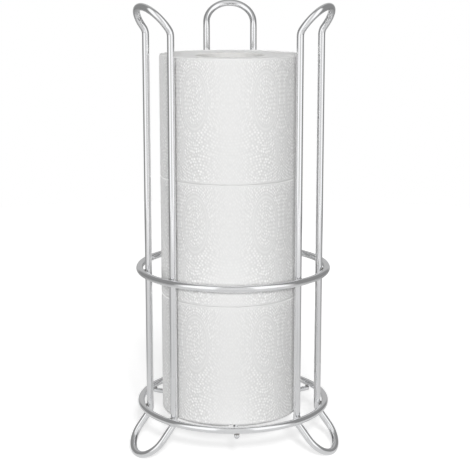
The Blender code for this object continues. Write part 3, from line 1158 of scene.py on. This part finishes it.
def floor_finish():
    """Glow by kind of ray: the eye sees it rise with the distance from the stand, mirrors see it run from the near
    glow to the room's level, and paper sees next to none."""
    material, tree, shader = new_material("floor_white", Roughness=0.25, Specular_IOR_Level=0.0,
                                          Emission_Color=colour(1.0, 1.0, 1.0))
    place = object_place(tree)
    room = use(tree, room_panels, place, Panel=FAR_PANEL, Cloth=FAR_CLOTH)["Level"]
    reach = add(tree, "ShaderNodeVectorMath", {"operation": "LENGTH"}, n0=place).outputs["Value"]
    rays = add(tree, "ShaderNodeLightPath").outputs
    mirrored = spread(tree, reach, GLOW_NEAR_IN_MIRRORS, room, *MIRRORS_FROM_TO, "SMOOTHSTEP")
    seen = spread(tree, reach, *GLOW_SEEN, *SEEN_FROM_TO, "SMOOTHSTEP")
    feed(tree, shader, Base_Color=mix_colours(tree, rays["Is Diffuse Ray"], BODY_GREY, BODY_FOR_PAPER),
         Emission_Strength=by_ray(tree, rays, seen, mirrored, GLOW_ON_PAPER))
    return material


floor = make_floor()
floor.data.materials.append(floor_finish())
print("floor radius", FLOOR_RADIUS, "m")

# %% [markdown]
# ## The world
#
# The eye sees plain white, mirrors see the room's panels with a darker ceiling above them, and paper gets a little
# even light from everywhere. The picture is shown without any film look, so white stays white.

# %% World
PANEL_LIGHT, CLOTH_LIGHT, CEILING_LIGHT, PAPER_LIGHT = 1.15, 0.28, 0.35, 0.02
CEILING_FROM_TO = (0.86, 0.99)


def build_world():
    """Picks the background by the kind of ray, and fades the panels into the ceiling near the top."""
    world = bpy.data.worlds.new("studio")
    world.use_nodes = True
    tree = world.node_tree
    direction = add(tree, "ShaderNodeTexCoord").outputs["Generated"]
    panels = use(tree, room_panels, direction, Panel=PANEL_LIGHT, Cloth=CLOTH_LIGHT)["Level"]
    height = add(tree, "ShaderNodeSeparateXYZ", None, Vector=direction).outputs[2]
    room = spread(tree, height, panels, CEILING_LIGHT, *CEILING_FROM_TO, "SMOOTHSTEP")
    rays = add(tree, "ShaderNodeLightPath").outputs
    background = tree.nodes["Background"]
    background.inputs["Color"].default_value = colour(1.0, 1.0, 1.0)
    feed(tree, background, Strength=by_ray(tree, rays, 1.0, room, PAPER_LIGHT))
    bpy.context.scene.world = world


build_world()
bpy.context.scene.view_settings.view_transform = "Standard"
print("world ready")

# %% [markdown]
# ## Lamps
#
# Soft lamps stand well clear of the stand. The one in front makes the paper brightest in the middle of each roll and
# lets it fall off to the sides, and it is only a little above the line of sight, so that each wire hides most of
# its own shadow on the paper. One lamp hangs overhead for the roll's top, and two stand behind at the sides for a
# thin bright rim. They light everything but the floor. The last lamp is small and lights the floor alone, so that
# the stand leaves one soft shadow there.

# %% Lamps
RIM_TURN, RIM_AWAY, RIM_HEIGHT = math.radians(136), 1.6, 0.45
RIM_PLACES = [tuple(RIM_AWAY * compass(turn)[0] + RIM_HEIGHT * UP) for turn in (-RIM_TURN, RIM_TURN)]
LAMPS = (  # name, place, target, size, power in watts, and whether the floor is left out or lit alone
    ("front_lamp", (-0.10, -2.60, 0.84), (0.0, 0.0, 0.1), (0.5, 0.4), 73.0, "EXCLUDE"),
    ("top_lamp", (0.0, 0.0, 2.2), (0.0, 0.0, 0.0), (0.6, 0.6), 15.0, "EXCLUDE"),
    ("rim_lamp_1", RIM_PLACES[0], (0.0, 0.0, 0.2), (0.5, 0.7), 23.0, "EXCLUDE"),
    ("rim_lamp_2", RIM_PLACES[1], (0.0, 0.0, 0.2), (0.5, 0.7), 23.0, "EXCLUDE"),
    ("floor_lamp", (0.1, -2.2, 1.27), (0.0, 0.0, 0.0), (0.30, 0.30), 60.0, "INCLUDE"),
)


def soft_lamp(name, place, target, size, power, floor_state):
    """An area lamp of size (width, height) at place that faces target; the eye and mirrors don't see it. INCLUDE
    makes it light the floor alone, and EXCLUDE everything but the floor."""
    data = bpy.data.lights.new(name, "AREA")
    data.shape = "RECTANGLE"
    data.size, data.size_y = size
    data.energy = power
    lamp = bpy.data.objects.new(name, data)
    bpy.context.scene.collection.objects.link(lamp)
    aim = np.array(place) - np.array(target)
    lamp.location = place
    lamp.rotation_euler = (math.atan2(math.hypot(aim[0], aim[1]), aim[2]), 0.0, math.atan2(aim[0], -aim[1]))
    lamp.visible_camera = lamp.visible_glossy = False
    receivers = bpy.data.collections.new(name + "_receivers")
    receivers.objects.link(floor)
    receivers.collection_objects[0].light_linking.link_state = floor_state
    lamp.light_linking.receiver_collection = receivers


for row in LAMPS:
    soft_lamp(*row)
print("lamps:", len(LAMPS))
